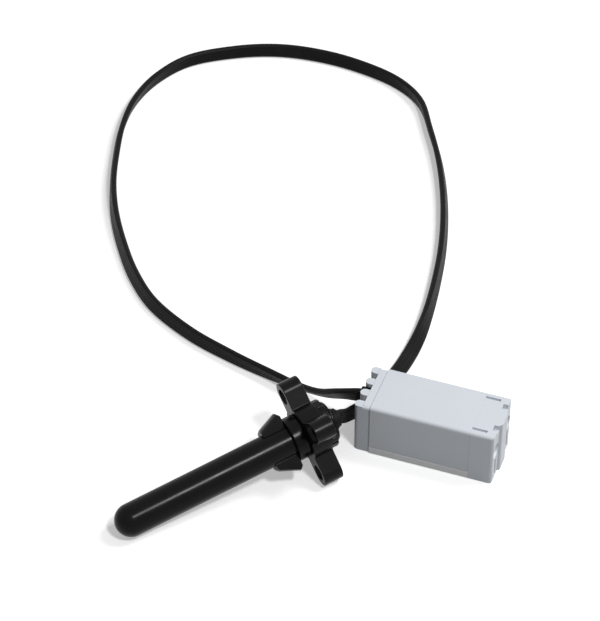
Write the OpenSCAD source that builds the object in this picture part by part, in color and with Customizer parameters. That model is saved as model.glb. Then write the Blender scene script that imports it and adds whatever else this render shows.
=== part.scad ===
// Probe sensor of a robotics building kit: a light grey interface box, one flat
// black lead and a round-ended black probe that carries a cross-shaped collar.
// Origin: on the centre line of the box's underside, 4 mm from the middle of the
// base plate. +X runs along the box towards its pin holes and +Z is up. The box,
// the probe's tip and the collar stand on z = 0.

/* [Interface box] */
// Length of the cover and the base along X
body_len = 40; // [33:1:60]
// Width of the box
box_w = 24; // [24:1:32]
// Height of the box
box_h = 24; // [24:1:32]
// Thickness of the cover's side walls
cover_wall = 1.6; // [1.2:0.1:2.2]
// Thickness of the cover's top
cover_top = 2; // [1.4:0.1:3]
// Radius of the cover's two long top edges
edge_r = 1.4; // [0.6:0.1:1.8]
// Height of the base plate
base_h = 3; // [2.4:0.1:3.8]

/* [Pin end] */
// Length of the end block beyond the cover
block_len = 9.5; // [8:0.5:14]
// Distance between the two pin holes
pin_spacing = 16; // [15:0.5:16.5]
// Height of the pin holes above the underside
pin_hole_z = 14; // [10:0.5:15]
// Radius of a pin hole
pin_hole_r = 2.45; // [2:0.05:2.6]
// Radius of the recess around a pin hole's mouth
pin_recess_r = 3.1; // [2.8:0.05:3.3]
// Depth of that recess
pin_recess_d = 0.9; // [0.5:0.1:1.5]
// Depth of a pin hole's bore behind the recess
pin_hole_d = 7.2; // [5:0.1:7.4]
// Width of the rib between the pin holes
end_rib_w = 8; // [5:0.5:9]
// How far that rib stands out
end_rib_d = 1; // [0.6:0.1:2]
// Radius of the end block's upright corners
corner_r = 1.2; // [1:0.1:3]

/* [Lead end] */
// Thickness of the end cap
cap_t = 3; // [2:0.25:5]
// Number of upright ribs on the end cap
rib_count = 4; // [4:2:6]
// Distance between neighbouring ribs
rib_pitch = 6.5; // [6.2:0.1:6.8]
// Thickness of a rib
rib_t = 3.5; // [2.8:0.1:3.7]
// How far a rib stands out
rib_d = 3.5; // [2.5:0.1:5]
// Width of the modular socket's opening
socket_w = 10; // [9.8:0.1:11]
// Height of the modular socket's opening
socket_h = 7; // [6.8:0.1:7.6]
// Depth of the modular socket's opening behind the cap
socket_d = 10; // [9:0.5:14]

/* [Probe] */
// Outer diameter of the probe tube
probe_d = 13; // [11:0.5:15]
// Wall thickness of the probe tube
probe_wall = 1.5; // [1:0.1:2]
// Distance from the centre of the round tip to the middle of the collar
collar_at = 77; // [60:1:100]
// Length of the tapered stop along the probe
stop_len = 9.5; // [6:0.5:14]
// Radius of the stop's small end
stop_r0 = 8.8; // [8.2:0.1:10]
// Radius of the stop's large end
stop_r1 = 12; // [10.5:0.1:14]
// Width of the stop's two wings
stop_w = 7; // [4:0.5:9]
// Gap between the stop's large end and the collar
neck_len = 5; // [3:0.5:8]

/* [Collar] */
// Thickness of the collar along the probe
collar_t = 8; // [6:0.5:10]
// Reach of an arm from the probe's axis to its end
arm_reach = 21.5; // [19.8:0.1:26]
// Width of an arm
arm_w = 9; // [7:0.25:10]
// Distance of a collar hole from the probe's axis
collar_hole_at = 16; // [15.5:0.1:16.8]
// Radius of the collar's hub
hub_r = 11; // [10.4:0.1:11.8]
// Wall of the sleeve that the collar turns on
sleeve_wall = 1.5; // [1:0.1:2]

/* [Lead] */
// Width of the flat lead
lead_w = 6.2; // [4:0.1:8]
// Thickness of the flat lead
lead_t = 2.4; // [1.6:0.1:3]

/* [Clearances] */
// Radial running clearance between the collar and its sleeve
run_gap = 0.05; // [0.02:0.01:0.1]
// Gap on each side of a turning face
face_gap = 0.3; // [0.2:0.05:0.5]
// Gap around a spigot inside the cover
spigot_gap = 0.15; // [0.05:0.05:0.3]
// Gap around the circuit board
board_gap = 0.6; // [0.3:0.1:1]

/* [Hidden] */
$fn = 48;
eps = 0.01;

// Box: places along X and Z
x_lead_end = -body_len / 2 - 4;
x_pin_end = x_lead_end + body_len;
x_face = x_pin_end + block_len;
x_cap = x_lead_end - cap_t;
x_ribs = x_cap - rib_d;
inner_w = box_w - 2 * cover_wall;
inner_top = box_h - cover_top;
rim_t = 1.2;
rim_h = 2.5;
spigot_len = 3;
spigot_w = inner_w - 2 * spigot_gap;
spigot_top = inner_top - spigot_gap;
spigot_z = base_h + rim_h + spigot_gap;
spigot_t = 1.2;
bump_h = spigot_gap + 0.25;

// Modular socket and circuit board, stacked on the base
socket_wall = 1;
socket_z = base_h + 1.2;
socket_len = socket_d + 2;
board_t = 1.2;
board_z = socket_z + socket_h + socket_wall;
board_top = board_z + board_t;
board_x0 = x_lead_end + spigot_len + board_gap;
board_x1 = x_pin_end - spigot_len - board_gap;
board_w = inner_w - 2 * board_gap;
post_r = 2;
post_inset = 3;
post_xs = [board_x0 + socket_len + post_inset, board_x1 - 2 * post_inset];
post_y = board_w / 2 - post_inset;
screw_r = 0.8;
screw_head_r = 1.5;
screw_head_h = 1;
screw_gap = 0.05;
header_x0 = board_x0 + 4.6;
chip_x = board_x1 - 9.4;
header_w = 6;
header_h = 3;

// Base screws, driven up from below into the feet of the cap and the end block
foot_len = 6.6;
foot_w = min(4, (spigot_w - socket_w) / 2 - socket_wall - 0.2);
foot_h = 5;
base_screw_r = 1.1;
base_screw_head_r = 1.9;
base_screw_head_h = 1.2;
base_screw_len = 7;
base_screw_xs = [x_lead_end + foot_len / 2, x_pin_end - foot_len / 2];
base_screw_y = spigot_w / 2 - foot_w / 2;

// Lead gland in the end cap, above the socket
gland_wall = 0.6;
gland_z = board_top + gland_wall + lead_w / 2 + 0.6;
gland_h = lead_w + 2 * gland_wall;
gland_t = lead_t + 2 * gland_wall;
gland_out = 1;
gland_in = 1.5;
x_gland = x_ribs - gland_out;
// How far the probe and the lead move when the gland does
lay_x = x_gland + 31.5;

// Probe: its heading, and the end of its boot on the floor plan
probe_r = probe_d / 2;
heading = 48.6;
tail_at = [-35.63 + lay_x, -15.06];
tube_len = collar_at + collar_t / 2 + 3.6;
sleeve_r = probe_r + sleeve_wall;
sleeve_x0 = collar_at - collar_t / 2 - neck_len;
stop_x0 = sleeve_x0 - stop_len;
collar_x0 = collar_at - collar_t / 2;
collar_x1 = collar_at + collar_t / 2;
shoulder_r = sleeve_r + 0.8;
nut_len = 3;
nut_r = sleeve_r + 1.8;
nut_flats = 18;
boot_x0 = tube_len + 1.2;
boot_len = 3.6;
boot_r0 = 5;
arm_angle = 45;
arm_end_r = arm_w / 2;
groove_w = 2;
groove_d = 0.7;
strip_t = 1;
strip_x0 = 0;
strip_x1 = tube_len - 12;
bead_r = 1.6;
plug_in = 5;
plug_flange = 1.2;
wire_gap = 1.6;

// The collar rests on two arms, which pitches the probe up from its tip
function rest_height(pitch) =
    ((arm_reach - arm_end_r) * sin(arm_angle) + arm_end_r) * cos(pitch)
    + collar_t / 2 * sin(pitch);
function rest_pitch(pitch, rounds) = rounds == 0 ? pitch
    : rest_pitch(asin((rest_height(pitch) - probe_r) / collar_at), rounds - 1);
probe_pitch = rest_pitch(0, 6);
probe_way = [cos(probe_pitch) * cos(heading), cos(probe_pitch) * sin(heading),
    sin(probe_pitch)];
probe_end = boot_x0 + boot_len;
tip_at = [tail_at.x - probe_end * probe_way.x, tail_at.y - probe_end * probe_way.y,
    probe_r];

// Lead: [x, y, height above rest, roll], where roll 0 lies flat and 90 stands on
// edge. It leaves the boot, passes the box, loops round and enters the gland.
lead_points = [
    [-35.62, -15.04, probe_r + probe_end * probe_way.z - lead_w / 2, 90],
    [-33.8, -12, 13.7, 90], [-32.9, -7.6, 11.3, 90],
    [-32.7, -2.2, 7.8, 90], [-32.7, 3.5, 4.3, 90], [-32.2, 10.5, 1.3, 88],
    [-29.6, 20, 0.2, 75], [-27.2, 30, 0, 45], [-25.7, 41, 0, 32],
    [-25, 55, 0, 48], [-26, 71, 0, 66], [-28.6, 90, 0, 72],
    [-32.2, 109, 0, 74], [-37.2, 128, 0, 74], [-43.6, 147, 0, 74],
    [-51.6, 166, 0, 75], [-61, 184, 0, 78], [-71.5, 202, 0, 84],
    [-86.5, 213, 0, 96], [-107, 218.8, 0, 104], [-127, 220.2, 0, 106],
    [-146, 217.4, 0, 104], [-164, 209.4, 0, 98], [-181, 196.5, 0, 92],
    [-190, 179, 0, 84], [-193, 160, 0, 76], [-191, 141, 0, 74],
    [-185.6, 121, 0, 76], [-178.8, 101.5, 0, 80], [-170.6, 83.8, 0, 72],
    [-160, 66.6, 0, 66], [-147.6, 50, 0, 64], [-133, 36, 0, 68],
    [-113, 25, 0, 76], [-93.6, 18.4, 0, 86], [-74.6, 13.4, 0.2, 102],
    [-60, 9.4, 1.9, 126], [-49, 4.6, 6.3, 132], [-39.8, 1, 11.9, 118],
    [-31.52, 0, gland_z - lead_w / 2, 90]];
lead_steps = 2;

module box_section(width, low, high, radius) {
    // Y-Z outline with its two top corners rounded
    translate([-width / 2, low]) square([width, high - low - radius]);
    translate([-width / 2 + radius, low]) square([width - 2 * radius, high - low]);
    for (side = [-1, 1])
        translate([side * (width / 2 - radius), high - radius]) circle(radius);
}

module along_x(from, to) {
    translate([from, 0, 0]) rotate([90, 0, 90]) linear_extrude(to - from) children();
}

module block(low, high) {
    translate(low) cube(high - low);
}

module on_probe() {
    translate(tip_at)
        rotate([0, 0, heading]) rotate([0, -probe_pitch, 0]) rotate([0, 90, 0])
            children();
}

module ring(inner, outer, low, high) {
    translate([0, 0, low]) difference() {
        cylinder(h = high - low, r = outer);
        translate([0, 0, -eps]) cylinder(h = high - low + 2 * eps, r = inner);
    }
}

module base_screw_places() {
    for (x = base_screw_xs, side = [-1, 1])
        translate([x, side * base_screw_y, 0]) children();
}

module board_post_places() {
    for (x = post_xs, side = [-1, 1]) translate([x, side * post_y, 0]) children();
}

module rod(from, to, radius) {
    // Straight wire between two points
    way = to - from;
    flat = norm([way.x, way.y]);
    translate(from) rotate([0, atan2(flat, way.z), atan2(way.y, way.x)])
        cylinder(h = norm(way), r = radius, $fn = 16);
}

module snap_places(size) {
    for (x = [x_lead_end, x_pin_end], side = [-1, 1])
        translate([x + sign(-x) * spigot_len / 2, side * inner_w / 2, box_h / 2])
            cube(size, center = true);
}

module spigot(from, to) {
    // Arch that fills the cover's end
    difference() {
        block([from, -spigot_w / 2, spigot_z], [to, spigot_w / 2, spigot_top]);
        block([from - 1, spigot_t - spigot_w / 2, spigot_z - 1],
            [to + 1, spigot_w / 2 - spigot_t, spigot_top - spigot_t]);
    }
}

module feet(from, to) {
    for (side = [-1, 1])
        block([from, side * base_screw_y - foot_w / 2, base_h + spigot_gap],
            [to, side * base_screw_y + foot_w / 2, base_h + foot_h]);
}

module base_screw_holes() {
    base_screw_places()
        cylinder(h = base_screw_len + screw_gap, r = base_screw_r + screw_gap);
}

module housing_cover() {
    color([0.78, 0.8, 0.83]) difference() {
        along_x(x_lead_end, x_pin_end) difference() {
            box_section(box_w, base_h, box_h, edge_r);
            translate([-inner_w / 2, base_h - 1])
                square([inner_w, inner_top - base_h + 1]);
        }
        snap_places([1.6, 1.2, 5]);
    }
}

module housing_base() {
    rim_x0 = x_lead_end + foot_len + spigot_gap;
    rim_x1 = x_pin_end - foot_len - spigot_gap;
    color([0.74, 0.76, 0.79]) difference() {
        union() {
            block([x_lead_end, -box_w / 2, 0], [x_pin_end, box_w / 2, base_h]);
            for (side = [-1, 1])
                block([rim_x0, side * (spigot_w - rim_t) / 2 - rim_t / 2, base_h / 2],
                    [rim_x1, side * (spigot_w - rim_t) / 2 + rim_t / 2, base_h + rim_h]);
            board_post_places() cylinder(h = board_z, r = post_r);
        }
        base_screw_places() {
            translate([0, 0, -1]) cylinder(h = box_h, r = base_screw_r + screw_gap);
            translate([0, 0, -1])
                cylinder(h = 1 + base_screw_head_h, r = base_screw_head_r);
        }
        board_post_places() translate([0, 0, base_h])
            cylinder(h = board_z, r = screw_r + screw_gap);
    }
}

module end_outline() {
    // Plan of the end block: two rounded corners and a rounded rib between the holes
    half = box_w / 2;
    translate([x_pin_end, -half]) square([block_len - corner_r, box_w]);
    translate([x_pin_end, corner_r - half]) square([block_len, box_w - 2 * corner_r]);
    for (side = [-1, 1])
        translate([x_face - corner_r, side * (half - corner_r)]) circle(corner_r);
    translate([x_face - 1, end_rib_d - end_rib_w / 2])
        square([1 + end_rib_d, end_rib_w - 2 * end_rib_d]);
    for (side = [-1, 1])
        translate([x_face, side * (end_rib_w / 2 - end_rib_d)]) circle(end_rib_d);
}

module pin_end_block() {
    groove_x = x_pin_end;
    groove_len = 6;
    groove_y = box_w / 2 - 3;
    notch_w = 3;
    notch_y = end_rib_w / 2 + notch_w / 2 + 0.6;
    slot_w = 1.4;
    color([0.77, 0.79, 0.82]) difference() {
        union() {
            intersection() {
                linear_extrude(box_h) end_outline();
                along_x(x_pin_end - 1, x_face + end_rib_d + 1)
                    box_section(box_w, 0, box_h, edge_r);
            }
            spigot(x_pin_end - spigot_len, x_pin_end + eps);
            feet(x_pin_end - foot_len, x_pin_end + eps);
            snap_bumps(x_pin_end - spigot_len / 2);
        }
        base_screw_holes();
        for (side = [-1, 1]) {
            translate([x_face, side * pin_spacing / 2, pin_hole_z]) rotate([0, -90, 0]) {
                cylinder(h = pin_recess_d + pin_hole_d, r = pin_hole_r);
                translate([0, 0, -1]) cylinder(h = 1 + pin_recess_d, r = pin_recess_r);
            }
            // Draft slot under each hole
            block([x_face - 1.5, side * pin_spacing / 2 - slot_w / 2, 1.5],
                [x_face + 1, side * pin_spacing / 2 + slot_w / 2,
                    pin_hole_z - pin_recess_r - 1.2]);
            // Grooves and notches in the top
            block([groove_x - 0.5, side * groove_y - 0.6, box_h - 1],
                [groove_x + groove_len, side * groove_y + 0.6, box_h + 1]);
            block([x_face - 2, side * notch_y - notch_w / 2, box_h - 2],
                [x_face + 1, side * notch_y + notch_w / 2, box_h + 1]);
        }
    }
}

module snap_bumps(x) {
    // Bumps on the spigot's sides, which spring into the cover's pockets
    for (side = [-1, 1])
        translate([x, side * (spigot_w - bump_h) / 2, box_h / 2])
            cube([1.2, 3 * bump_h, 4], center = true);
}

module rib_outline() {
    translate([-rib_d + rib_t / 2, -rib_t / 2]) square([rib_d - rib_t / 2 + eps, rib_t]);
    translate([-rib_d + rib_t / 2, 0]) circle(rib_t / 2);
}

module lead_end_cap() {
    cap_inset = 0.5;
    rib_top = box_h - 0.8;
    short_z = socket_z + socket_h + 1.5;
    color([0.76, 0.78, 0.81]) difference() {
        union() {
            along_x(x_cap, x_lead_end)
                box_section(box_w - 2 * cap_inset, 0, box_h - cap_inset, edge_r);
            for (i = [0:rib_count - 1]) {
                y = (i - (rib_count - 1) / 2) * rib_pitch;
                low = abs(y) > socket_w / 2 + rib_t / 2 ? 0 : short_z;
                translate([x_cap, y, low]) linear_extrude(rib_top - low) rib_outline();
            }
            spigot(x_lead_end - eps, x_lead_end + spigot_len);
            feet(x_lead_end - eps, x_lead_end + foot_len);
            snap_bumps(x_lead_end + spigot_len / 2);
        }
        base_screw_holes();
        block([x_cap - 1, -socket_w / 2, socket_z],
            [x_lead_end + 1, socket_w / 2, socket_z + socket_h]);
        block([x_ribs - 1, -gland_t / 2, gland_z - gland_h / 2],
            [x_lead_end + spigot_len + 1, gland_t / 2, gland_z + gland_h / 2]);
    }
}

module circuit_board() {
    color([0.1, 0.35, 0.18]) difference() {
        block([board_x0, -board_w / 2, board_z], [board_x1, board_w / 2, board_top]);
        board_post_places() cylinder(h = box_h, r = screw_r + screw_gap);
    }
}

module on_board(x, y) {
    translate([x, y, board_top]) children();
}

module chip(size) {
    translate([-size.x / 2, -size.y / 2, 0]) cube(size);
}

module microcontroller() {
    color([0.08, 0.08, 0.09]) on_board(chip_x, 0) chip([7, 7, 1.2]);
}

module amplifier_chip() {
    color([0.08, 0.08, 0.09]) on_board(board_x0 + 11, 0) chip([4, 5, 1.5]);
}

module chip_parts() {
    color([0.55, 0.5, 0.4]) for (i = [-1:1], side = [-1, 1])
        on_board(chip_x + 2.6 * i, side * 4.4) chip([2, 1.2, 0.6]);
}

module storage_capacitor() {
    color([0.15, 0.16, 0.2]) on_board(board_x0 + 9.4, 5.6) cylinder(h = 5.4, r = 2);
}

module clock_crystal() {
    color([0.75, 0.75, 0.75]) on_board(board_x1 - 3.4, 0) chip([3.2, 5, 1]);
}

module lead_header() {
    color([0.9, 0.9, 0.86]) on_board(header_x0 + 1.5, 0) chip([3, header_w, header_h]);
}

module inner_wires() {
    wire_r = 0.4;
    wires = 4;
    color([0.7, 0.15, 0.12]) for (i = [0:wires - 1]) {
        y = (i - (wires - 1) / 2) * 1.4;
        z = gland_z + (i - (wires - 1) / 2) * 1.3;
        rod([x_lead_end + gland_in + 0.26, 0, z],
            [header_x0 - 0.26, y, board_top + header_h / 2], wire_r);
    }
}

module modular_socket() {
    x0 = x_lead_end;
    w = socket_w + 2 * socket_wall;
    color([0.12, 0.12, 0.13]) difference() {
        block([x0, -w / 2, socket_z - socket_wall], [x0 + socket_len, w / 2, board_z]);
        block([x0 - 1, -socket_w / 2, socket_z],
            [x0 + socket_d, socket_w / 2, socket_z + socket_h]);
    }
}

module socket_contacts() {
    contacts = 6;
    contact_w = 0.4;
    contact_pitch = 1.27;
    contact_len = 1.6;
    color([0.85, 0.7, 0.3]) for (i = [0:contacts - 1])
        translate([x_lead_end + socket_d - contact_len,
            (i - (contacts - 1) / 2) * contact_pitch - contact_w / 2,
            socket_z + socket_h - 1.2])
            cube([contact_len, contact_w, 1.2]);
}

module base_screws() {
    color([0.7, 0.7, 0.72]) base_screw_places() {
        translate([0, 0, 0.2])
            cylinder(h = base_screw_head_h - 0.2, r = base_screw_head_r - 0.1);
        translate([0, 0, base_screw_head_h])
            cylinder(h = base_screw_len - base_screw_head_h, r = base_screw_r);
    }
}

module board_screws() {
    color([0.7, 0.7, 0.72]) board_post_places() {
        translate([0, 0, board_top]) cylinder(h = screw_head_h, r = screw_head_r);
        translate([0, 0, base_h + 1]) cylinder(h = board_top - base_h - 1, r = screw_r);
    }
}

module lead_gland() {
    color([0.06, 0.06, 0.06])
        block([x_gland, -gland_t / 2, gland_z - gland_h / 2],
            [x_lead_end + gland_in, gland_t / 2, gland_z + gland_h / 2]);
}

module probe_tube() {
    bore_r = probe_r - probe_wall;
    color([0.05, 0.05, 0.06]) on_probe() rotate_extrude($fn = 64) difference() {
        union() {
            intersection() {
                circle(probe_r);
                translate([0, -probe_r]) square([probe_r, probe_r]);
            }
            square([probe_r, tube_len]);
        }
        intersection() {
            circle(bore_r);
            translate([-eps, -bore_r]) square([bore_r + eps, bore_r + eps]);
        }
        translate([-eps, -eps]) square([bore_r + eps, tube_len + 2 * eps]);
    }
}

module sensing_bead() {
    color([0.8, 0.5, 0.2]) on_probe() translate([0, 0, strip_x0 - bead_r])
        sphere(bead_r);
}

module sensor_strip() {
    half_w = sqrt(pow(probe_r - probe_wall, 2) - pow(strip_t / 2, 2)) - 0.05;
    color([0.1, 0.35, 0.18]) on_probe()
        block([-half_w, -strip_t / 2, strip_x0], [half_w, strip_t / 2, strip_x1]);
}

module probe_wires() {
    color([0.7, 0.15, 0.12]) on_probe() for (i = [-1:1])
        translate([i * wire_gap, 0, strip_x1])
            cylinder(h = tube_len - plug_in - strip_x1, r = 0.45, $fn = 16);
}

module tail_plug() {
    color([0.07, 0.07, 0.08]) on_probe() {
        translate([0, 0, tube_len - plug_in])
            cylinder(h = plug_in, r = probe_r - probe_wall);
        translate([0, 0, tube_len]) cylinder(h = plug_flange, r = sleeve_r);
    }
}

module tapered_stop() {
    // Two wings in line with two of the collar's arms
    color([0.05, 0.05, 0.06]) on_probe() intersection() {
        rotate_extrude($fn = 64)
            polygon([[probe_r, stop_x0], [stop_r0 - 0.8, stop_x0],
                [stop_r0, stop_x0 + 0.8], [stop_r1, sleeve_x0 - 1.2],
                [stop_r1 - 1.2, sleeve_x0], [probe_r, sleeve_x0]]);
        rotate(arm_angle + 90) translate([-stop_r1 - 1, -stop_w / 2, stop_x0 - 1])
            cube([2 * stop_r1 + 2, stop_w, stop_len + 2]);
    }
}

module collar_sleeve() {
    color([0.07, 0.07, 0.08]) on_probe() difference() {
        union() {
            ring(probe_r, sleeve_r, sleeve_x0, tube_len);
            ring(probe_r, shoulder_r, sleeve_x0, collar_x0 - face_gap);
        }
        ring(sleeve_r - groove_d, sleeve_r + 1, collar_at - groove_w / 2,
            collar_at + groove_w / 2);
    }
}

module grip_ring() {
    color([0.1, 0.1, 0.1]) on_probe()
        ring(sleeve_r - groove_d, sleeve_r, collar_at - groove_w / 2,
            collar_at + groove_w / 2);
}

module arm_outline() {
    // Four arms with round ends around a round hub
    circle(hub_r);
    for (turn = [0:3]) rotate(arm_angle + 90 * turn) {
        translate([0, -arm_w / 2]) square([arm_reach - arm_end_r, arm_w]);
        translate([arm_reach - arm_end_r, 0]) circle(arm_end_r);
    }
}

module collar() {
    color([0.05, 0.05, 0.06]) on_probe() difference() {
        translate([0, 0, collar_x0]) linear_extrude(collar_t) arm_outline();
        translate([0, 0, collar_x0 - 1])
            cylinder(h = collar_t + 2, r = sleeve_r + run_gap, $fn = 64);
        for (turn = [0:3]) rotate(arm_angle + 90 * turn)
            translate([collar_hole_at, 0, 0]) {
                translate([0, 0, collar_x0 - 1]) cylinder(h = collar_t + 2, r = pin_hole_r);
                for (low = [collar_x0 - 1, collar_x1 - pin_recess_d])
                    translate([0, 0, low]) cylinder(h = 1 + pin_recess_d, r = pin_recess_r);
            }
    }
}

module retaining_nut() {
    color([0.06, 0.06, 0.07]) on_probe() difference() {
        ring(sleeve_r, nut_r, collar_x1 + face_gap, collar_x1 + face_gap + nut_len);
        for (i = [0:nut_flats - 1]) rotate(i * 360 / nut_flats)
            translate([nut_r + 0.3, 0, collar_x1]) cylinder(h = nut_len + 2, r = 0.8, $fn = 16);
    }
}

module probe_boot() {
    end_r = lead_w / 2 + 0.3;
    color([0.06, 0.06, 0.06]) on_probe() translate([0, 0, boot_x0])
        cylinder(h = boot_len, r1 = boot_r0, r2 = end_r, $fn = 48);
}

// Sweep of the flat lead along its route
function curve(a, b, c, d, t) = 0.5 * (2 * b + (c - a) * t
    + (2 * a - 5 * b + 4 * c - d) * t * t + (3 * b - a - 3 * c + d) * t * t * t);
function route_point(i) = lead_points[max(0, min(len(lead_points) - 1, i))];
lead_line = [for (i = [0:len(lead_points) - 2], k = [0:lead_steps - 1])
    curve(route_point(i - 1), route_point(i), route_point(i + 1), route_point(i + 2),
        k / lead_steps), route_point(len(lead_points) - 1)];
lead_section = [
    [lead_w / 2, -lead_t / 6], [lead_w / 2, lead_t / 6],
    [lead_w / 2 - lead_t / 4, lead_t / 2], [lead_t / 4 - lead_w / 2, lead_t / 2],
    [-lead_w / 2, lead_t / 6], [-lead_w / 2, -lead_t / 6],
    [lead_t / 4 - lead_w / 2, -lead_t / 2], [lead_w / 2 - lead_t / 4, -lead_t / 2]];
function lead_rest(roll) =
    max([for (q = lead_section) q.x * sin(roll) + q.y * cos(roll)]);
function lead_place(p) = [p.x + lay_x, p.y, p[2] + lead_rest(p[3])];
function lead_way(i) = i == 0 ? probe_way : i == len(lead_line) - 1 ? [1, 0, 0]
    : lead_place(lead_line[i + 1]) - lead_place(lead_line[i - 1]);
function unit(v) = v / norm(v);
function lead_ring(i) = let (way = unit(lead_way(i)), side = unit(cross([0, 0, 1], way)),
    up = cross(way, side), roll = lead_line[i][3],
    wide = side * cos(roll) + up * sin(roll), thin = up * cos(roll) - side * sin(roll))
    [for (q = lead_section) lead_place(lead_line[i]) + wide * q.x + thin * q.y];

module lead() {
    sides = len(lead_section);
    rings = len(lead_line);
    color([0.04, 0.04, 0.04]) polyhedron(
        points = [for (i = [0:rings - 1], q = lead_ring(i)) q],
        faces = concat(
            [[for (j = [0:sides - 1]) j]],
            [for (i = [0:rings - 2], j = [0:sides - 1])
                [i * sides + j, (i + 1) * sides + j,
                    (i + 1) * sides + (j + 1) % sides, i * sides + (j + 1) % sides]],
            [[for (j = [sides - 1:-1:0]) (rings - 1) * sides + j]]));
}

housing_cover();
housing_base();
pin_end_block();
lead_end_cap();
circuit_board();
microcontroller();
amplifier_chip();
chip_parts();
storage_capacitor();
clock_crystal();
lead_header();
inner_wires();
modular_socket();
socket_contacts();
base_screws();
board_screws();
lead_gland();
probe_tube();
sensing_bead();
sensor_strip();
probe_wires();
tail_plug();
tapered_stop();
collar_sleeve();
grip_ring();
collar();
retaining_nut();
probe_boot();
lead();
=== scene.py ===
from __future__ import annotations

import logging
import math
from dataclasses import dataclass
from enum import Enum
from typing import Sequence

import bmesh
import bpy
from mathutils import Matrix, Vector


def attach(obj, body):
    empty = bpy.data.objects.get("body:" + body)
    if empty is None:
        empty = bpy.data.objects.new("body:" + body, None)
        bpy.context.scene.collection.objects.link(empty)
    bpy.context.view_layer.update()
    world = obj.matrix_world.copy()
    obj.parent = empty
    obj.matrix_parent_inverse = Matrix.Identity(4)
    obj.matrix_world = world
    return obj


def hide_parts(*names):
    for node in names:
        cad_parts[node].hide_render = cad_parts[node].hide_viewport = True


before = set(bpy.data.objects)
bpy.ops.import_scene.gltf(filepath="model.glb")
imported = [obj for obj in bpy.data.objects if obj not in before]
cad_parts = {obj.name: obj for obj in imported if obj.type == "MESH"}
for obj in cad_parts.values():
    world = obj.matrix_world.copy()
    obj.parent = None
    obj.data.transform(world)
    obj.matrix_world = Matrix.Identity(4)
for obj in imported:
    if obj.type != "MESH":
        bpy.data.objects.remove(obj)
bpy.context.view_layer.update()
LOG = logging.getLogger("probe_sensor")
MM = 0.001
SENSOR_BODY = "sensor"
COLLAR_BODY = "collar"
MERGE_WITHIN = 1e-6  # metres; corners this near are one
BEVEL_MERGE_WITHIN = 2e-6  # metres; the same, after a bevel
THIN_FACE = 1e-7  # metres
FLAT_WITHIN = 1.5  # degrees; faces this near to one plane are one face
CRISP_ABOVE = 40  # degrees; edges that get a moulded radius
SMOOTH_BELOW = 34  # degrees; edges that are shaded smooth
NOISE_MIDDLE = 0.5


class Sock:
    """A shader socket that takes part in arithmetic.

    Args:
        recipe: the recipe that owns the node tree.
        link: the output socket it stands for.
    """

    def __init__(self, recipe: "Recipe", link: bpy.types.NodeSocket) -> None:
        """Keep the recipe and the socket."""
        self.recipe = recipe
        self.link = link

    def _maths(self, operation: str, *values: "Sock | float") -> "Sock":
        """Add one Math node and return its result."""
        return self.recipe.node("ShaderNodeMath", {"operation": operation},
                                dict(enumerate(values)))

    def __add__(self, other: "Sock | float") -> "Sock":
        """Sum."""
        return self._maths("ADD", self, other)

    __radd__ = __add__

    def __mul__(self, other: "Sock | float") -> "Sock":
        """Product."""
        return self._maths("MULTIPLY", self, other)

    __rmul__ = __mul__

    def __sub__(self, other: "Sock | float") -> "Sock":
        """Difference."""
        return self._maths("SUBTRACT", self, other)

    def __rsub__(self, other: "Sock | float") -> "Sock":
        """Reflected difference, so that 1 - mask works."""
        return self._maths("SUBTRACT", other, self)

    def swing(self, width: float) -> "Sock":
        """Noise centred on zero and stretched to a width."""
        return (self - NOISE_MIDDLE) * width

    def ramp(self, low: float, high: float) -> "Sock":
        """Map low..high onto 0..1, clamped."""
        return self.recipe.node("ShaderNodeMapRange", {"clamp": True},
                                {"Value": self, "From Min": low, "From Max": high})


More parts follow.
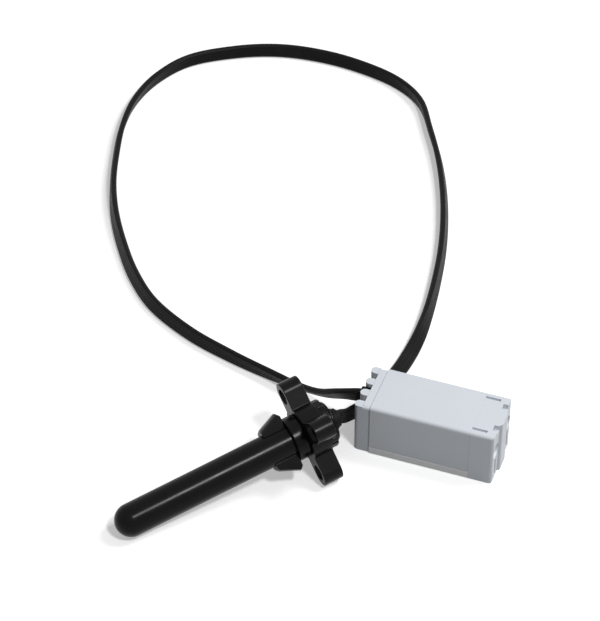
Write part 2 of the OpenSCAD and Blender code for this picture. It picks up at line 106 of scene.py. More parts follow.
class Recipe:
    """A material under construction, with the few nodes that the finishes use.

    Args:
        name: the material's name.
    """

    SCUFF_STRETCH = (1, 6, 3)
    SCUFF_BREAKUP = 0.7
    SCUFF_SEEN = (0.62, 0.74)
    WORN_SEEN = (0.02, 0.35)

    def __init__(self, name: str) -> None:
        """Make the material and find its shader."""
        self.material = bpy.data.materials.new(name)
        self.material.use_nodes = True
        self.tree = self.material.node_tree
        self.shader = self.tree.nodes["Principled BSDF"]

    def node(self, kind: str, settings: dict[str, object],
             sockets: "dict[str | int, object]", output: "str | int" = 0) -> Sock:
        """Add a node.

        Args:
            kind: the node's type.
            settings: its properties, set first.
            sockets: values or links of its inputs.
            output: which output to return.

        Returns:
            The chosen output.
        """
        made = self.tree.nodes.new(kind)
        for key, value in settings.items():
            setattr(made, key, value)
        for key, value in sockets.items():
            if isinstance(value, Sock):
                self.tree.links.new(value.link, made.inputs[key])
            else:
                made.inputs[key].default_value = value
        return Sock(self, made.outputs[output])

    def place(self, stretch: tuple[float, float, float] = (1, 1, 1),
              uv: bool = False) -> Sock:
        """Coordinates on the object, or the piece's own UV map."""
        here = self.node("ShaderNodeTexCoord", {}, {}, "UV" if uv else "Object")
        return self.node("ShaderNodeMapping", {}, {"Vector": here, "Scale": stretch})

    def noise(self, scale: float, detail: float = 2.0, place: Sock | None = None,
              roughness: float = 0.5) -> Sock:
        """Smooth noise of a given scale per metre."""
        return self.node("ShaderNodeTexNoise", {},
                         {"Vector": place or self.place(), "Scale": scale,
                          "Detail": detail, "Roughness": roughness})

    def mix(self, factor: "Sock | float", first: object, second: object) -> Sock:
        """Mix two colours."""
        return self.node("ShaderNodeMix", {"data_type": "RGBA"},
                         {0: factor, 6: first, 7: second}, 2)

    def tones(self, factor: Sock, colour: tuple[float, float, float], low: float,
              high: float) -> Sock:
        """Mix a darker and a lighter tone of one colour."""
        return self.mix(factor, shade(colour, low), shade(colour, high))

    def scuffs(self, scale: float, amount: float) -> Sock:
        """Sparse fine scratches, 0 to amount."""
        grain = self.noise(scale, 3.0, self.place(self.SCUFF_STRETCH),
                           self.SCUFF_BREAKUP)
        return grain.ramp(*self.SCUFF_SEEN) * amount

    def worn_edge(self, width: float) -> Sock:
        """A mask that is 1 on sharp edges and 0 on flat faces.

        Args:
            width: how far the wear reaches from an edge, in metres.

        Returns:
            The mask.
        """
        soft = self.node("ShaderNodeBevel", {"samples": 4}, {"Radius": width})
        hard = self.node("ShaderNodeNewGeometry", {}, {}, "Normal")
        turn = self.node("ShaderNodeVectorMath", {"operation": "DOT_PRODUCT"},
                         {0: soft, 1: hard}, "Value")
        return (1 - turn).ramp(*self.WORN_SEEN)

    def finish(self, colour: object, roughness: object, height: Sock | None = None,
               depth: float = 0.0, **constants: float) -> bpy.types.Material:
        """Join colour, roughness and relief to the shader.

        Args:
            colour: socket or plain colour.
            roughness: socket or number.
            height: relief for the bump.
            depth: the relief's depth in metres.
            constants: values of the shader's other sockets, with _ for a space.

        Returns:
            The finished material.
        """
        for key, value in (("Base Color", colour), ("Roughness", roughness)):
            if isinstance(value, Sock):
                self.tree.links.new(value.link, self.shader.inputs[key])
            else:
                self.shader.inputs[key].default_value = value
        for key, value in constants.items():
            self.shader.inputs[key.replace("_", " ")].default_value = value
        if height is not None:
            bump = self.node("ShaderNodeBump", {},
                             {"Height": height, "Distance": depth, "Strength": 1.0})
            self.tree.links.new(bump.link, self.shader.inputs["Normal"])
        return self.material


def shade(colour: tuple[float, float, float], factor: float = 1.0) -> tuple:
    """A colour with alpha, made lighter or darker."""
    return tuple(min(1.0, part * factor) for part in colour) + (1.0,)


@dataclass(frozen=True)
class MouldedPlastic:
    """Moulded satin plastic with faint flow clouds, fine grain and handled edges."""

    name: str
    colour: tuple[float, float, float]
    roughness: float = 0.42
    sheen: float = 0.4
    cloud_scale: float = 38
    cloud_tones: tuple[float, float] = (0.955, 1.03)
    grain_scale: float = 2600
    grain_depth: float = 0.00002
    grain_swing: float = 0.12
    dust_scale: float = 420
    dust_seen: tuple[float, float] = (0.56, 0.72)
    dust_tone: float = 0.78
    dust_share: float = 0.1
    edge_width: float = 0.0005
    edge_tone: float = 1.16
    edge_share: float = 0.3
    scuff_scale: float = 900
    scuff_swing: float = 0.12

    def material(self) -> bpy.types.Material:
        """Build the finish."""
        recipe = Recipe(self.name)
        cloud = recipe.noise(self.cloud_scale, detail=3.0)
        grain = recipe.noise(self.grain_scale, detail=2.0)
        dust = recipe.noise(self.dust_scale, detail=4.0).ramp(*self.dust_seen)
        edge = recipe.worn_edge(self.edge_width)
        base = recipe.tones(cloud, self.colour, *self.cloud_tones)
        base = recipe.mix(dust * self.dust_share, base,
                          shade(self.colour, self.dust_tone))
        base = recipe.mix(edge * self.edge_share, base,
                          shade(self.colour, self.edge_tone))
        rough = (self.roughness + grain.swing(self.grain_swing)
                 + recipe.scuffs(self.scuff_scale, self.scuff_swing))
        return recipe.finish(base, rough, grain, self.grain_depth,
                             Specular_IOR_Level=self.sheen)


@dataclass(frozen=True)
class GlossyBlack:
    """Polished black moulding with hairline scratches and a few specks of dust."""

    name: str
    colour: tuple[float, float, float] = (0.0025, 0.0025, 0.0028)
    roughness: float = 0.23
    sheen: float = 0.1
    haze_scale: float = 160
    haze_tones: tuple[float, float] = (0.8, 1.5)
    haze_depth: float = 0.00002
    haze_swing: float = 0.14
    speck_scale: float = 1900
    speck_seen: tuple[float, float] = (0.73, 0.8)
    speck_colour: tuple[float, float, float] = (0.09, 0.09, 0.085)
    speck_share: float = 0.25
    edge_width: float = 0.0004
    edge_colour: tuple[float, float, float] = (0.035, 0.035, 0.037)
    edge_share: float = 0.3
    scuff_scale: float = 700
    scuff_swing: float = 0.18

    def material(self) -> bpy.types.Material:
        """Build the finish."""
        recipe = Recipe(self.name)
        haze = recipe.noise(self.haze_scale, detail=3.0)
        specks = recipe.noise(self.speck_scale, detail=1.0).ramp(*self.speck_seen)
        edge = recipe.worn_edge(self.edge_width)
        base = recipe.tones(haze, self.colour, *self.haze_tones)
        base = recipe.mix(specks * self.speck_share, base, shade(self.speck_colour))
        base = recipe.mix(edge * self.edge_share, base, shade(self.edge_colour))
        rough = (self.roughness + haze.swing(self.haze_swing)
                 + recipe.scuffs(self.scuff_scale, self.scuff_swing))
        return recipe.finish(base, rough, haze, self.haze_depth,
                             Specular_IOR_Level=self.sheen)


@dataclass(frozen=True)
class SoftBlack:
    """Matt black rubber with a pebbled skin."""

    name: str
    colour: tuple[float, float, float] = (0.004, 0.004, 0.0042)
    roughness: float = 0.58
    sheen: float = 0.12
    pebble_scale: float = 3200
    pebble_depth: float = 0.00005
    pebble_swing: float = 0.2
    bloom_scale: float = 240
    bloom_seen: tuple[float, float] = (0.5, 0.8)
    bloom_tone: float = 3.5
    bloom_share: float = 0.3

    def material(self) -> bpy.types.Material:
        """Build the finish."""
        recipe = Recipe(self.name)
        pebble = recipe.noise(self.pebble_scale, detail=2.0)
        bloom = recipe.noise(self.bloom_scale, detail=3.0).ramp(*self.bloom_seen)
        base = recipe.tones(bloom * self.bloom_share, self.colour, 1, self.bloom_tone)
        rough = self.roughness + pebble.swing(self.pebble_swing)
        return recipe.finish(base, rough, pebble, self.pebble_depth,
                             Specular_IOR_Level=self.sheen)


@dataclass(frozen=True)
class LeadJacket:
    """Extruded jacket: streaks along the lead, a soft satin and patches of bloom."""

    name: str
    colour: tuple[float, float, float] = (0.0026, 0.0026, 0.0028)
    roughness: float = 0.42
    sheen: float = 0.1
    streak_scale: float = 26
    streak_stretch: tuple[float, float, float] = (1.2, 14, 1)
    streak_tones: tuple[float, float] = (0.7, 1.7)
    streak_depth: float = 0.00004
    streak_swing: float = 0.2
    bloom_scale: float = 190
    bloom_seen: tuple[float, float] = (0.5, 0.8)
    bloom_colour: tuple[float, float, float] = (0.016, 0.016, 0.017)
    bloom_share: float = 0.35
    bloom_swing: float = 0.12

    def material(self) -> bpy.types.Material:
        """Build the finish."""
        recipe = Recipe(self.name)
        along = recipe.place(self.streak_stretch, uv=True)
        streak = recipe.noise(self.streak_scale, 3.0, along)
        bloom = recipe.noise(self.bloom_scale, detail=3.0).ramp(*self.bloom_seen)
        base = recipe.tones(streak, self.colour, *self.streak_tones)
        base = recipe.mix(bloom * self.bloom_share, base, shade(self.bloom_colour))
        rough = (self.roughness + streak.swing(self.streak_swing)
                 + bloom * self.bloom_swing)
        return recipe.finish(base, rough, streak, self.streak_depth,
                             Specular_IOR_Level=self.sheen)


@dataclass(frozen=True)
class Metal:
    """Plated or drawn metal with fine turning marks."""

    name: str
    colour: tuple[float, float, float]
    roughness: float = 0.3
    mark_scale: float = 900
    mark_stretch: tuple[float, float, float] = (1, 1, 7)
    mark_tones: tuple[float, float] = (0.8, 1.08)
    mark_depth: float = 0.00002
    mark_swing: float = 0.25

    def material(self) -> bpy.types.Material:
        """Build the finish."""
        recipe = Recipe(self.name)
        marks = recipe.noise(self.mark_scale, 4.0, recipe.place(self.mark_stretch))
        base = recipe.tones(marks, self.colour, *self.mark_tones)
        rough = self.roughness + marks.swing(self.mark_swing)
        return recipe.finish(base, rough, marks, self.mark_depth, Metallic=1.0)


@dataclass(frozen=True)
class BoardFinish:
    """Laminate, epoxy or dipped parts: two tones in a fine speckle."""

    name: str
    colour: tuple[float, float, float]
    speck_scale: float = 900
    roughness: float = 0.45
    speck_tones: tuple[float, float] = (0.7, 1.3)
    speck_depth: float = 0.00003
    speck_swing: float = 0.2

    def material(self) -> bpy.types.Material:
        """Build the finish."""
        recipe = Recipe(self.name)
        speck = recipe.noise(self.speck_scale, detail=3.0)
        base = recipe.tones(speck, self.colour, *self.speck_tones)
        rough = self.roughness + speck.swing(self.speck_swing)
        return recipe.finish(base, rough, speck, self.speck_depth)


class Slot(Enum):
    """The record's material slots and their finishes."""

    SHELL = MouldedPlastic("shell_grey", (0.585, 0.618, 0.66))
    BASE = MouldedPlastic("base_grey", (0.76, 0.77, 0.775), 0.45)
    SOCKET = MouldedPlastic("socket_black", (0.012, 0.012, 0.012), 0.4, 0.3)
    HEADER = MouldedPlastic("header_ivory", (0.72, 0.7, 0.6), 0.4)
    PROBE = GlossyBlack("probe_black")
    STOP = GlossyBlack("stop_black", roughness=0.26)
    COLLAR = GlossyBlack("collar_black", roughness=0.28, sheen=0.12)
    SOFT = SoftBlack("soft_black")
    LEAD = LeadJacket("lead_black")
    SCREW = Metal("screw_steel", (0.6, 0.6, 0.6))
    CAN = Metal("can_metal", (0.7, 0.7, 0.71), 0.26)
    CONTACT = Metal("contact_gold", (0.86, 0.64, 0.26), 0.22)
    BOARD = BoardFinish("board_green", (0.03, 0.16, 0.07), 300, 0.35)
    CHIP = BoardFinish("chip_black", (0.018, 0.018, 0.02), 2200, 0.55)
    PARTS = BoardFinish("chip_body", (0.36, 0.29, 0.2), 1500)
    BEAD = BoardFinish("bead_amber", (0.5, 0.2, 0.03), 700, 0.25)
    WIRE = BoardFinish("wire_sleeve", (0.45, 0.04, 0.03), 500, 0.5)

    @property
    def slot(self) -> str:
        """The record's name of the slot."""
        return self.value.name


MATERIALS: dict[Slot, bpy.types.Material] = {}


def material_of(slot: Slot) -> bpy.types.Material:
    """The slot's material, built on first use.

    Args:
        slot: the finish.

    Returns:
        Its material.
    """
    if slot not in MATERIALS:
        MATERIALS[slot] = slot.value.material()
    return MATERIALS[slot]


def smooth_by_angle(mesh: bpy.types.Mesh, degrees: float = SMOOTH_BELOW) -> None:
    """Shade a mesh smooth, except across edges sharper than an angle."""
    mesh.shade_smooth()
    mesh.set_sharp_from_angle(angle=math.radians(degrees))


def add_piece(name: str, shape: bmesh.types.BMesh, slot: Slot,
              body: str = SENSOR_BODY, nodes: Sequence[str] = ()) -> bpy.types.Object:
    """Turn a finished bmesh into a piece of the model.

    Args:
        name: the piece's name.
        shape: its bmesh, in the CAD's frame; it is freed.
        slot: the finish.
        body: the CAD body that it rides on.
        nodes: the CAD nodes that it stands for.

    Returns:
        The new object.
    """
    mesh = bpy.data.meshes.new(name)
    shape.to_mesh(mesh)
    shape.free()
    smooth_by_angle(mesh)
    piece = bpy.data.objects.new(name, mesh)
    bpy.context.scene.collection.objects.link(piece)
    flat = piece.modifiers.new("flat faces stay flat", "WEIGHTED_NORMAL")
    flat.keep_sharp = True
    mesh.materials.append(material_of(slot))
    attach(piece, body)
    if nodes:
        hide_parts(*nodes)
    LOG.info("%s: %d faces on %s", name, len(mesh.polygons), body)
    return piece


def dress_node(node: str, slot: Slot) -> None:
    """Give a CAD node that stays visible its finish.

    Args:
        node: the CAD node.
        slot: its finish.
    """
    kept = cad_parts[node]
    kept.data.materials.clear()
    kept.data.materials.append(material_of(slot))
    LOG.info("%s keeps its solid", node)


def softened(node: str, name: str, slot: Slot, radius: float,
             body: str = SENSOR_BODY) -> bpy.types.Object:
    """A copy of a CAD node with rounded moulded edges.

    Args:
        node: the CAD node.
        name: the new piece's name.
        slot: its finish.
        radius: the edges' radius in metres.
        body: the CAD body that it rides on.

    Returns:
        The new piece, which replaces the node.
    """
    shape = bmesh.new()
    shape.from_mesh(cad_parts[node].data)
    bmesh.ops.remove_doubles(shape, verts=shape.verts, dist=MERGE_WITHIN)
    bmesh.ops.dissolve_limit(shape, angle_limit=math.radians(FLAT_WITHIN),
                             verts=shape.verts, edges=shape.edges)
    limit = math.radians(CRISP_ABOVE)
    crisp = [edge for edge in shape.edges
             if len(edge.link_faces) == 2 and edge.calc_face_angle(0) > limit]
    bmesh.ops.bevel(shape, geom=crisp, offset=radius, affect="EDGES", segments=2,
                    profile=0.5, material=-1, clamp_overlap=True)
    bmesh.ops.remove_doubles(shape, verts=shape.verts, dist=BEVEL_MERGE_WITHIN)
    return add_piece(name, shape, slot, body, [node])


def turned(profile: Sequence[tuple[float, float]], place: Matrix,
           steps: int) -> bmesh.types.BMesh:
    """Spin a profile round the local Z axis.

    Args:
        profile: (radius, height) corners in millimetres, first and last on the axis
            or the same point.
        place: where the turned shape goes.
        steps: sides of the full turn.

    Returns:
        The closed shape.
    """
    shape = bmesh.new()
    verts = [shape.verts.new((radius * MM, 0, height * MM))
             for radius, height in profile]
    edges = [shape.edges.new(pair) for pair in zip(verts, verts[1:])]
    bmesh.ops.spin(shape, geom=verts + edges, cent=(0, 0, 0), axis=(0, 0, 1),
                   angle=math.tau, steps=steps, use_merge=True)
    bmesh.ops.remove_doubles(shape, verts=shape.verts, dist=MERGE_WITHIN)
    bmesh.ops.dissolve_degenerate(shape, edges=shape.edges, dist=THIN_FACE)
    bmesh.ops.recalc_face_normals(shape, faces=shape.faces)
    bmesh.ops.transform(shape, matrix=place, verts=shape.verts)
    return shape


def arc(centre: tuple[float, float], radius: float, start: float, end: float,
        steps: int) -> list[tuple[float, float]]:
    """Points of an arc in a profile.

    Args:
        centre: its centre.
        radius: its radius.
        start: the angle of its first point in degrees.
        end: the angle of its last point.
        steps: how many chords it has.

    Returns:
        The points, one more than the chords.
    """
    turn = [math.radians(start + (end - start) * i / steps) for i in range(steps + 1)]
    return [(centre[0] + radius * math.cos(a), centre[1] + radius * math.sin(a))
            for a in turn]


@dataclass
class Studio:
    """Camera, floor and lamps, in metres, degrees and watts."""

    camera_at: tuple[float, float, float] = (0.190, -0.6857, 0.7137)
    camera_tilt: float = 90 - 42.15
    camera_turn: float = 19.77
    lens: float = 150
    near_clip: float = 0.05
    key_from: tuple[float, float, float] = (0.45, 0.3, 0.84)
    key_power: float = 6.2
    key_size: float = 0.34
    glint_from: tuple[float, float, float] = (0.442, -0.318, 0.963)
    glint_power: float = 6.0
    glint_size: float = 0.14
    lamps_away: float = 1.1
    lamps_aim: tuple[float, float, float] = (-0.03, 0, 0)
    sky: float = 0.2
    floor_seen: float = 0.8
    floor_felt: float = 0.22
    floor_glow: float = 0.38
    floor_reach: float = 6
    floor_drop: float = 0.0002

    def build(self) -> None:
        """Set up everything that isn't the object."""
        scene = bpy.context.scene
        lens = bpy.data.cameras.new("camera")
        lens.lens = self.lens
        lens.clip_start = self.near_clip
        camera = bpy.data.objects.new("camera", lens)
        camera.location = self.camera_at
        camera.rotation_euler = (math.radians(self.camera_tilt), 0,
                                 math.radians(self.camera_turn))
        scene.collection.objects.link(camera)
        scene.camera = camera
        scene.view_settings.view_transform = "Standard"
        self._lamp("key", self.key_from, self.key_size, self.key_power)
        self._lamp("glint", self.glint_from, self.glint_size, self.glint_power)
        self._sky()
        self._floor()

    def _lamp(self, name: str, way: tuple[float, float, float], size: float,
              power: float) -> None:
        """A square soft lamp.

        Args:
            name: its name.
            way: the direction in which it stands from the object.
            size: its side in metres.
            power: its power in watts.
        """
        lamp = bpy.data.lights.new(name, "AREA")
        lamp.shape = "SQUARE"
        lamp.size = size
        lamp.energy = power
        stand = bpy.data.objects.new(name, lamp)
        toward = Vector(way).normalized()
        stand.location = Vector(self.lamps_aim) + toward * self.lamps_away
        stand.rotation_euler = toward.to_track_quat("Z", "Y").to_euler()
        bpy.context.scene.collection.objects.link(stand)

    @staticmethod
    def _seen_ray(tree: bpy.types.NodeTree) -> bpy.types.NodeSocket:
        """1 for camera, glossy and transmission rays.

        Args:
            tree: the node tree in which it is worked out.

        Returns:
            The socket that holds it.
        """
        path = tree.nodes.new("ShaderNodeLightPath")
        total = path.outputs["Is Camera Ray"]
        for other in ("Is Glossy Ray", "Is Transmission Ray"):
            join = tree.nodes.new("ShaderNodeMath")
            join.operation = "MAXIMUM"
            tree.links.new(total, join.inputs[0])
            tree.links.new(path.outputs[other], join.inputs[1])
            total = join.outputs[0]
        return total

    def _sky(self) -> None:
        """Even light from all round, seen as white."""
        world = bpy.data.worlds.new("studio")
        bpy.context.scene.world = world
        world.use_nodes = True
        tree = world.node_tree
        soft = tree.nodes["Background"]
        soft.inputs["Color"].default_value = (1, 1, 1, 1)
        soft.inputs["Strength"].default_value = self.sky
        white = tree.nodes.new("ShaderNodeBackground")
        white.inputs["Strength"].default_value = 1.0
        white.inputs["Color"].default_value = (1, 1, 1, 1)
        mix = tree.nodes.new("ShaderNodeMixShader")
        tree.links.new(self._seen_ray(tree), mix.inputs[0])
        tree.links.new(soft.outputs[0], mix.inputs[1])
        tree.links.new(white.outputs[0], mix.inputs[2])
        tree.links.new(mix.outputs[0], tree.nodes["World Output"].inputs["Surface"])

    def _floor(self) -> None:
        """A pale floor that keeps the object's shadow."""
        shape = bmesh.new()
        bmesh.ops.create_grid(shape, x_segments=1, y_segments=1,
                              size=self.floor_reach)
        bmesh.ops.translate(shape, vec=(0, 0, -self.floor_drop), verts=shape.verts)
        mesh = bpy.data.meshes.new("floor")
        shape.to_mesh(mesh)
        shape.free()
        floor = bpy.data.objects.new("floor", mesh)
        bpy.context.scene.collection.objects.link(floor)
        recipe = Recipe("floor")
        tree = recipe.tree
        felt = recipe.node("ShaderNodeBsdfDiffuse", {},
                           {"Color": (self.floor_felt,) * 3 + (1,)})
        seen = recipe.node("ShaderNodeBsdfDiffuse", {},
                           {"Color": (self.floor_seen,) * 3 + (1,)})
        glow = recipe.node("ShaderNodeEmission", {}, {"Strength": self.floor_glow})
        lit = recipe.node("ShaderNodeAddShader", {}, {0: seen, 1: glow})
        both = recipe.node("ShaderNodeMixShader", {},
                           {0: Sock(recipe, self._seen_ray(tree)), 1: felt, 2: lit})
        tree.links.new(both.link, tree.nodes["Material Output"].inputs["Surface"])
        mesh.materials.append(recipe.material)


@dataclass
class FlatLead:
    """The flat lead that joins the probe's boot to the box's gland."""

    width: float = 6.2
    thickness: float = 2.4
    boot_way: tuple[float, float, float] = (0.6552, 0.7432, 0.1352)
    steps: int = 6
    uv_per_metre: float = 10
    # from each edge inwards: how far in, and how far below the flat face
    rounding: tuple[tuple[float, float], ...] = (
        (0, 0.8), (0.25, 0.35), (0.7, 0), (1.3, 0.06), (1.9, 0))
    waist_half: float = 0.55
    waist_depth: float = 0.1
    # x, y, height above rest in millimetres, and roll in degrees
    route: tuple[tuple[float, float, float, float], ...] = (
        (-35.62, -15.04, 15.49, 90), (-33.8, -12, 13.7, 90), (-32.9, -7.6, 11.3, 90),
        (-32.7, -2.2, 7.8, 90), (-32.7, 3.5, 4.3, 90), (-32.2, 10.5, 1.3, 88),
        (-29.6, 20, 0.2, 75), (-27.2, 30, 0, 45), (-25.7, 41, 0, 32),
        (-25, 55, 0, 48), (-26, 71, 0, 66), (-28.6, 90, 0, 72),
        (-32.2, 109, 0, 74), (-37.2, 128, 0, 74), (-43.6, 147, 0, 74),
        (-51.6, 166, 0, 75), (-61, 184, 0, 78), (-71.5, 202, 0, 84),
        (-86.5, 213, 0, 96), (-107, 218.8, 0, 104), (-127, 220.2, 0, 106),
        (-146, 217.4, 0, 104), (-164, 209.4, 0, 98), (-181, 196.5, 0, 92),
        (-190, 179, 0, 84), (-193, 160, 0, 76), (-191, 141, 0, 74),
        (-185.6, 121, 0, 76), (-178.8, 101.5, 0, 80), (-170.6, 83.8, 0, 72),
        (-160, 66.6, 0, 66), (-147.6, 50, 0, 64), (-133, 36, 0, 68),
        (-113, 25, 0, 76), (-93.6, 18.4, 0, 86), (-74.6, 13.4, 0.2, 102),
        (-60, 9.4, 1.9, 126), (-49, 4.6, 6.3, 132), (-39.8, 1, 11.9, 118),
        (-31.52, 0, 14.6, 90))

    def section(self) -> list[tuple[float, float]]:
        """Rounded outline with a shallow waist between its conductors.

        Returns:
            Its corners in millimetres, all the way round.
        """
        half_w, half_t = self.width / 2, self.thickness / 2
        side = [(half_w - inward, half_t - drop) for inward, drop in self.rounding]
        side += [(self.waist_half, half_t), (0, half_t - self.waist_depth)]
        top = side + [(-x, y) for x, y in reversed(side[:-1])]
        return top + [(-x, -y) for x, y in top]

    def rest(self, roll: float) -> float:
        """Height of the lead's middle when its lowest edge touches the floor."""
        turn = math.radians(roll)
        return max(x * math.sin(turn) + y * math.cos(turn) for x, y in self.section())

    def line(self) -> list[tuple[float, float, float, float]]:
        """A smooth curve through every point of the route.

        Returns:
            Its points, each with its roll.
        """
        rows, out = self.route, []
        for i in range(len(rows) - 1):
            a, b, c, d = (rows[max(0, min(len(rows) - 1, i + k))]
                          for k in (-1, 0, 1, 2))
            for step in range(self.steps):
                t = step / self.steps
                out.append(tuple(
                    0.5 * (2 * q + (r - p) * t + (2 * p - 5 * q + 4 * r - s) * t * t
                           + (3 * q - p - 3 * r + s) * t ** 3)
                    for p, q, r, s in zip(a, b, c, d)))
        out.append(rows[-1])
        return out

    def build(self) -> bpy.types.Object:
        """Returns:
            The lead.
        """
        line = self.line()
        centres = [Vector((x, y, z + self.rest(roll))) * MM for x, y, z, roll in line]
        section, shape = self.section(), bmesh.new()
        layer = shape.loops.layers.uv.new("jacket")
        rings, run, runs = [], 0.0, []
        for i, centre in enumerate(centres):
            if i == 0:
                way = Vector(self.boot_way)
            elif i == len(centres) - 1:
                way = Vector((1, 0, 0))
            else:
                way = centres[i + 1] - centres[i - 1]
            way.normalize()
            side = Vector((0, 0, 1)).cross(way).normalized()
            up, roll = way.cross(side), math.radians(line[i][3])
            wide = side * math.cos(roll) + up * math.sin(roll)
            thin = up * math.cos(roll) - side * math.sin(roll)
            rings.append([shape.verts.new(centre + (wide * x + thin * y) * MM)
                          for x, y in section])
            run += (centre - centres[i - 1]).length if i else 0
            runs.append(run)
        count = len(section)
        for i in range(len(rings) - 1):
            for j in range(count):
                k = (j + 1) % count
                face = shape.faces.new((rings[i][j], rings[i][k], rings[i + 1][k],
                                        rings[i + 1][j]))
                for loop, (u, v) in zip(face.loops, ((i, j), (i, j + 1), (i + 1, j + 1),
                                                     (i + 1, j))):
                    loop[layer].uv = (runs[u] * self.uv_per_metre, v / count)
        for ring in (rings[0], rings[-1]):
            shape.faces.new(ring)
        bmesh.ops.recalc_face_normals(shape, faces=shape.faces)
        piece = add_piece("flat_lead", shape, Slot.LEAD, SENSOR_BODY, ["lead"])
        LOG.info("the lead is %.3f m long", run)
        return piece


@dataclass
class InterfaceBox:
    """The grey box: cover, base plate, end block, ribbed cap and what is inside.

    The radii of edges are in metres, the gland's place and size in millimetres.
    """

    edge: float = 0.00028
    socket_edge: float = 0.00015
    gland_edge: float = 0.0006
    gland_lip: float = 0.00012
    faces_mouth: float = -0.99
    gland_x: tuple[float, float] = (-31.5, -22.5)
    gland_size: tuple[float, float] = (3.6, 7.4)
    gland_z: float = 17.7

    def build(self) -> None:
        """Make and dress every piece of the box."""
        for node, name, slot in (("housing_cover", "cover_shell", Slot.SHELL),
                                 ("housing_base", "base_plate", Slot.BASE),
                                 ("pin_end_block", "pin_block", Slot.SHELL),
                                 ("lead_end_cap", "ribbed_cap", Slot.SHELL)):
            softened(node, name, slot, self.edge)
        softened("modular_socket", "socket_shell", Slot.SOCKET, self.socket_edge)
        self.gland()
        for node, slot in (
                ("circuit_board", Slot.BOARD), ("microcontroller", Slot.CHIP),
                ("amplifier_chip", Slot.CHIP), ("chip_parts", Slot.PARTS),
                ("storage_capacitor", Slot.CAN), ("clock_crystal", Slot.CAN),
                ("lead_header", Slot.HEADER), ("inner_wires", Slot.WIRE),
                ("socket_contacts", Slot.CONTACT), ("base_screws", Slot.SCREW),
                ("board_screws", Slot.SCREW)):
            dress_node(node, slot)

    def gland(self) -> None:
        """Soft gland that grips the lead, with a rounded lip."""
        shape = bmesh.new()
        bmesh.ops.create_cube(shape, size=1)
        low, high = self.gland_x
        wide, tall = self.gland_size
        place = Matrix.Translation(Vector(((low + high) / 2, 0, self.gland_z)) * MM)
        size = Matrix.Diagonal((high - low, wide, tall, 1 / MM)) * MM
        bmesh.ops.transform(shape, matrix=place @ size, verts=shape.verts)
        bmesh.ops.bevel(shape, geom=shape.edges[:], offset=self.gland_edge,
                        affect="EDGES", segments=4, profile=0.5, material=-1,
                        clamp_overlap=True)
        mouth = [face for face in shape.faces if face.normal.x < self.faces_mouth]
        bmesh.ops.inset_region(shape, faces=mouth, thickness=self.gland_lip, depth=0)
        add_piece("lead_gland_sleeve", shape, Slot.SOFT, SENSOR_BODY, ["lead_gland"])


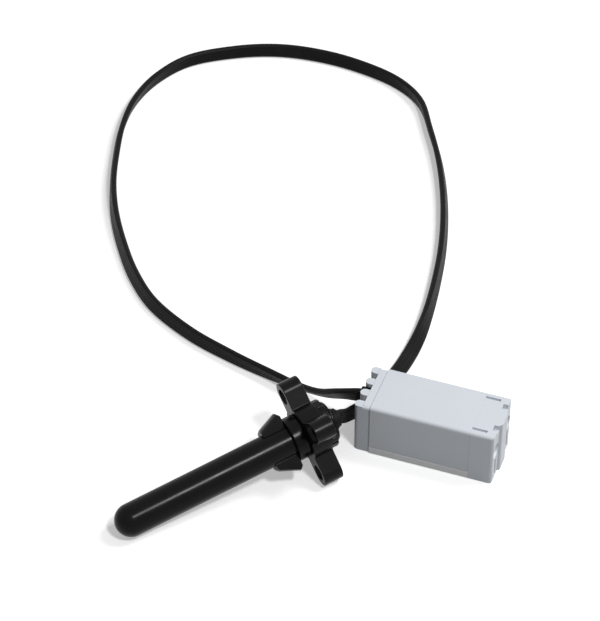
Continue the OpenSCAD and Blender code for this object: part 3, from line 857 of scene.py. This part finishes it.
@dataclass
class Probe:
    """The round-ended probe with its stop, collar, nut and boot, in millimetres."""

    radius: float = 6.5
    wall: float = 1.5
    tube_end: float = 84.6
    heading: float = 48.6
    pitch: float = 7.769821
    tail_at: tuple[float, float] = (-35.63, -15.06)
    tail: float = 89.4
    boot: tuple[float, float] = (85.8, 89.4)
    boot_radii: tuple[float, float] = (5, 3.4)
    tube_rings: tuple[float, ...] = (20, 40)
    tube_steps: int = 128
    tip_steps: int = 24
    bore_tip_steps: int = 16
    boot_steps: int = 64
    ridges: int = 3
    ridge_rise: float = 0.15
    ridge_taper: float = 0.05
    ridge_start: float = 0.1
    ridge_ends: float = 0.6
    groove_depth: float = 0.45
    groove_spans: tuple[float, float] = (0.72, 0.96)
    mouth_inset: float = 0.6

    def place(self) -> Matrix:
        """The probe's own frame: Z runs along it from the centre of its tip.

        Returns:
            The matrix that puts it in place, in metres.
        """
        turn = (Matrix.Rotation(math.radians(self.heading), 4, "Z")
                @ Matrix.Rotation(math.radians(-self.pitch), 4, "Y")
                @ Matrix.Rotation(math.radians(90), 4, "Y"))
        way = turn.to_3x3() @ Vector((0, 0, 1))
        tip = Vector((self.tail_at[0] - self.tail * way.x,
                      self.tail_at[1] - self.tail * way.y, self.radius))
        return Matrix.Translation(tip * MM) @ turn

    def build(self) -> None:
        """Make and dress every piece of the probe."""
        self.shaft()
        self.end_boot()
        for node, name, slot, radius, body in (
                ("tapered_stop", "stop_wings", Slot.STOP, 0.5, SENSOR_BODY),
                ("collar_sleeve", "sleeve", Slot.PROBE, 0.2, SENSOR_BODY),
                ("collar", "cross_collar", Slot.COLLAR, 0.4, COLLAR_BODY),
                ("retaining_nut", "notched_nut", Slot.COLLAR, 0.2, SENSOR_BODY),
                ("tail_plug", "end_plug", Slot.PROBE, 0.3, SENSOR_BODY)):
            softened(node, name, slot, radius * MM, body)
        for node, slot in (("grip_ring", Slot.SOFT), ("sensing_bead", Slot.BEAD),
                           ("sensor_strip", Slot.BOARD), ("probe_wires", Slot.WIRE)):
            dress_node(node, slot)

    def shaft(self) -> None:
        """Hollow tube with a round closed end."""
        inner = self.radius - self.wall
        profile = (arc((0, 0), self.radius, -90, 0, self.tip_steps)
                   + [(self.radius, z) for z in self.tube_rings]
                   + [(self.radius, self.tube_end), (inner, self.tube_end)]
                   + [(inner, z) for z in reversed(self.tube_rings)]
                   + arc((0, 0), inner, 0, -90, self.bore_tip_steps))
        add_piece("probe_shaft", turned(profile, self.place(), self.tube_steps),
                  Slot.PROBE, SENSOR_BODY, ["probe_tube"])

    def end_boot(self) -> None:
        """Ridged soft boot where the lead leaves the probe."""
        low, high = self.boot
        wide, narrow = self.boot_radii
        near, far = self.groove_spans
        profile = [(0, low), (wide, low)]
        step = (high - low) / self.ridges
        for i in range(self.ridges):
            radius = wide + (narrow - wide) * (i + 0.5) / self.ridges
            base = low + i * step
            crest, groove = radius + self.ridge_rise, radius - self.groove_depth
            profile += [(crest, base + self.ridge_start),
                        (crest - self.ridge_taper, base + step * self.ridge_ends),
                        (groove, base + step * near), (groove, base + step * far)]
        profile += [(narrow - self.mouth_inset, high), (0, high)]
        add_piece("lead_boot", turned(profile, self.place(), self.boot_steps),
                  Slot.SOFT, SENSOR_BODY, ["probe_boot"])


def main() -> None:
    """Build the studio, the lead, the box and the probe, in that order."""
    logging.basicConfig(level=logging.INFO, format="%(name)s: %(message)s")
    Studio().build()
    FlatLead().build()
    InterfaceBox().build()
    Probe().build()


if __name__ == "__main__":
    main()
